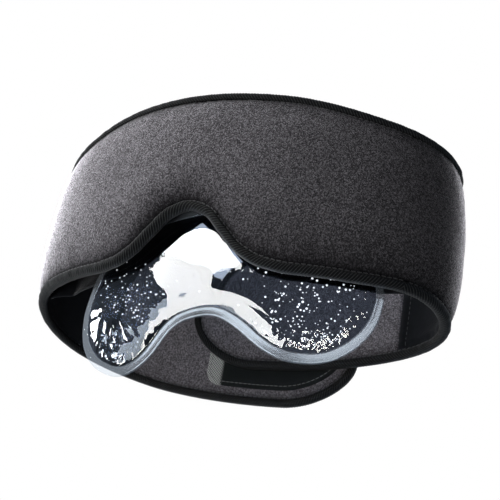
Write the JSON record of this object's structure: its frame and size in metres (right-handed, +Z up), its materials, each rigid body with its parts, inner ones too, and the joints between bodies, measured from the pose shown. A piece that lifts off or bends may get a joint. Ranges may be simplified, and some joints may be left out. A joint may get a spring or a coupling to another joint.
{
  "type": "eye pillow",
  "caption": "Padded wrap-around eye pillow with a nose notch, hook-and-loop back closure and a removable clear gel pack sliding out below.",
  "frame": {"origin": "centre of the whole object's box at rest", "axes": "+X across the face towards the strap that laps inside, -Y the way the eye panel faces, +Z up"},
  "size_m": [0.2414, 0.1134, 0.15],
  "materials": {
    "heather_knit": "brushed melange knit, dark grey with fine light fibres",
    "foam": "soft foam padding, hidden",
    "smooth_lining": "smooth dark lining",
    "twill_binding": "black twill edge binding",
    "hook_tape": "moulded hook tape on woven ground",
    "loop_tape": "brushed loop tape",
    "clear_film": "clear glossy film",
    "clear_gel": "clear gel with small bubbles"
  },
  "bodies": {
    "mask_front": {"outer_fabric_front": "heather_knit", "foam_core_front": "foam", "lining_front": "smooth_lining", "binding_top_front": "twill_binding", "binding_bottom_front": "twill_binding", "pocket_panel": "smooth_lining"},
    "gel_pack": {"gel_film_front": "clear_film", "gel_film_back": "clear_film", "gel_fill": "clear_gel"},
    "left_strap": {"outer_fabric_left": "heather_knit", "foam_core_left": "foam", "lining_left": "smooth_lining", "inner_fabric_left": "heather_knit", "binding_top_left": "twill_binding", "binding_bottom_left": "twill_binding"},
    "left_tail": {"outer_fabric_left_tail": "heather_knit", "foam_core_left_tail": "foam", "inner_fabric_left_tail": "heather_knit", "binding_left_tail": "twill_binding", "hook_tape": "hook_tape"},
    "right_strap": {"outer_fabric_right": "heather_knit", "foam_core_right": "foam", "lining_right": "smooth_lining", "inner_fabric_right": "heather_knit", "binding_right": "twill_binding", "loop_tape": "loop_tape"}
  },
  "joints": [
    {"name": "gel_pack_slide", "type": "slide", "parent": "mask_front", "child": "gel_pack", "axis": [0, 0, 1], "range_m": [-0.03, 0.033]},
    {"name": "left_strap_swing", "type": "hinge", "parent": "mask_front", "child": "left_strap", "pos_m": [-0.12139, 0.02244, 0], "axis": [0, 0, 1], "range_deg": [0, 70]},
    {"name": "right_strap_swing", "type": "hinge", "parent": "mask_front", "child": "right_strap", "pos_m": [0.12097, 0.01952, 0], "axis": [0, 0, 1], "range_deg": [-28, 0]},
    {"name": "left_tail_peel", "type": "hinge", "parent": "left_strap", "child": "left_tail", "pos_m": [-0.03898, 0.05705, 0], "axis": [0, 0, 1], "range_deg": [0, 75]}
  ],
  "couplings": [
    {"joint": "right_strap_swing", "follows": "left_strap_swing", "ratio": -0.4}
  ]
}
